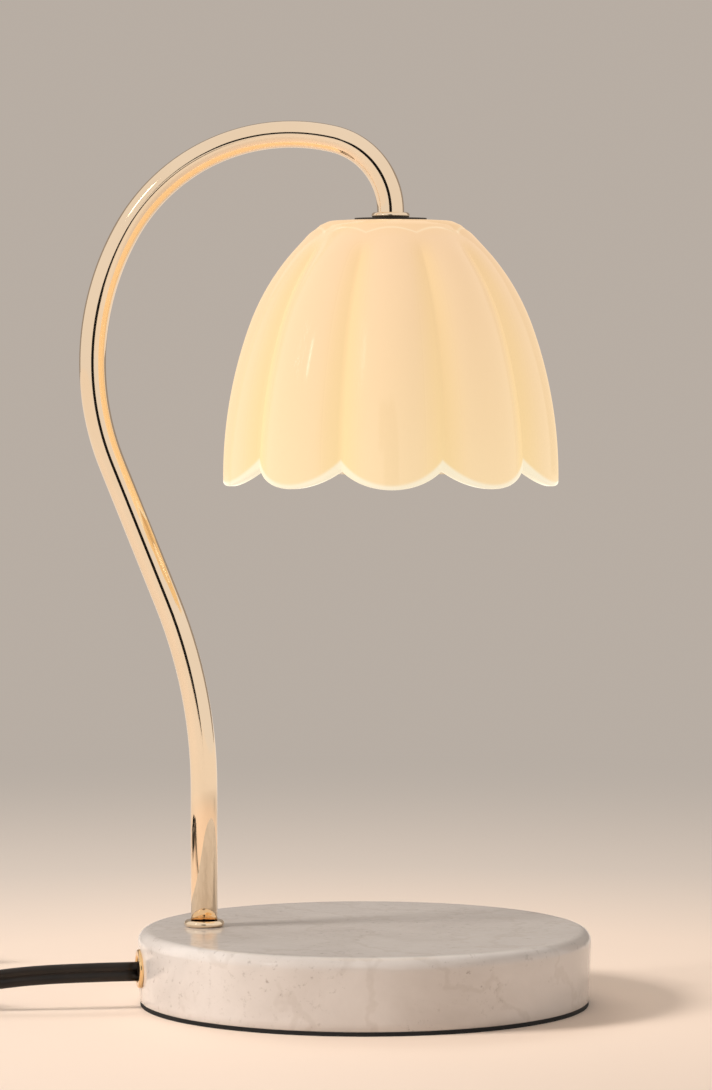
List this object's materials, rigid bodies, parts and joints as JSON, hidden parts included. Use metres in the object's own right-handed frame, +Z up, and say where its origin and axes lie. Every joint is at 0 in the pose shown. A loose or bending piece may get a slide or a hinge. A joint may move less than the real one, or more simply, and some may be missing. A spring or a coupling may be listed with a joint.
{
  "type": "candle warmer lamp",
  "caption": "Table lamp that melts a candle from above: round stone base, curved brass arm, fluted opal glass shade with a hidden bulb, inline dimmer and mains cord.",
  "frame": {"origin": "middle of the round base, on the surface it stands on", "axes": "+Z up; -Y towards the front, from which the arm rises at the left; the cord leaves towards -X"},
  "size_m": [0.3647, 0.1932, 0.3294],
  "materials": {
    "marble": "polished pale warm white marble with fine dark specks",
    "pad_foam": "thin black foam pad",
    "polished_brass": "mirror-polished pale gold plating",
    "opal_glass": "glossy cream opal glass, lit from inside",
    "black_washer": "thin black washer",
    "silicone_seal": "translucent silicone washer",
    "zinc_steel": "zinc-plated steel",
    "cup_metal": "satin gold lacquer",
    "white_ceramic": "unglazed white porcelain",
    "contact_bronze": "spring bronze",
    "lamp_glass": "clear pressed glass",
    "reflector_glass": "faceted aluminised glass",
    "cord_pvc": "glossy black PVC with a groove along it",
    "core_pvc": "insulated conductor",
    "nylon": "black nylon",
    "dimmer_plastic": "fine-textured black plastic",
    "knob_plastic": "black knob with a fluted edge",
    "circuit_board": "green fibreglass board"
  },
  "bodies": {
    "lamp": {"base_stone": "marble", "base_pad": "pad_foam", "arm_tube": "polished_brass", "arm_flange": "polished_brass", "base_washer": "zinc_steel", "base_nut": "zinc_steel", "cord_grommet": "polished_brass", "cord_stop": "nylon", "cord_inner": "cord_pvc", "core_live": "core_pvc", "core_neutral": "core_pvc", "shade_collar": "polished_brass", "shade_washer": "black_washer", "shade_seal": "silicone_seal", "shade_nut": "zinc_steel", "shade": "opal_glass", "holder_cup": "cup_metal", "holder_nut": "zinc_steel", "holder_ceramic": "white_ceramic", "holder_contacts": "contact_bronze", "cord_lead": "cord_pvc", "cord_link": "cord_pvc", "cord_coil": "cord_pvc", "cord_tail": "cord_pvc", "coil_tie": "nylon", "dimmer_lower": "dimmer_plastic", "dimmer_upper": "dimmer_plastic", "dimmer_board": "circuit_board", "dimmer_pot": "nylon", "dimmer_screws": "zinc_steel", "plug_body": "cord_pvc", "plug_blades": "contact_bronze"},
    "bulb": {"bulb_base": "white_ceramic", "bulb_reflector": "reflector_glass", "bulb_lens": "lamp_glass", "bulb_capsule": "lamp_glass", "bulb_pins": "zinc_steel"},
    "knob": {"dimmer_knob": "knob_plastic"}
  },
  "joints": [
    {"name": "bulb_twist", "type": "hinge", "parent": "lamp", "child": "bulb", "pos_m": [0.00968, -0.00093, 0.2514], "axis": [0, 0, -1], "range_deg": [0, 25]},
    {"name": "dimmer_turn", "type": "hinge", "parent": "lamp", "child": "knob", "pos_m": [-0.197, -0.024, 0.02], "axis": [0, 0, 1], "range_deg": [0, 270]}
  ]
}
